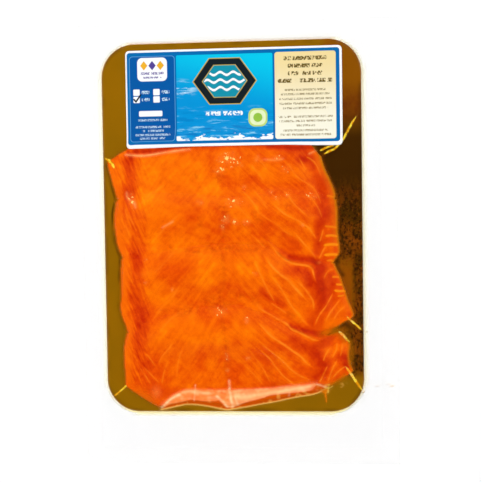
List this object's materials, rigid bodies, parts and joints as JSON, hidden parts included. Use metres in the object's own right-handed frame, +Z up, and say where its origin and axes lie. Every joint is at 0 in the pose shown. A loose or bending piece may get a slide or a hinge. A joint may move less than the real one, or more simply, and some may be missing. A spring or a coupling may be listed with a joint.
{
  "type": "pack of smoked sea trout",
  "caption": "Flat vacuum pack of lapped smoked fish slices on a gold card, in a clear film pouch with a flat margin, with a printed label across its head end.",
  "frame": {"origin": "centre of the pouch's footprint, on the surface that the pack lies on", "axes": "+Z up out of the fish, +Y along the pack's length towards the label, +X to the right as the label is seen"},
  "size_m": [0.172, 0.24, 0.0127],
  "materials": {
    "film": "clear glossy vacuum film",
    "gold_card": "card faced with gold foil",
    "fish": "moist orange smoked fish under film",
    "label": "gloss print in blue, cream and white"
  },
  "bodies": {
    "root": {"pouch_back": "film", "board": "gold_card", "slice_1": "fish", "slice_2": "fish", "slice_3": "fish", "slice_4": "fish", "pouch_front": "film", "label": "label"}
  },
  "joints": []
}
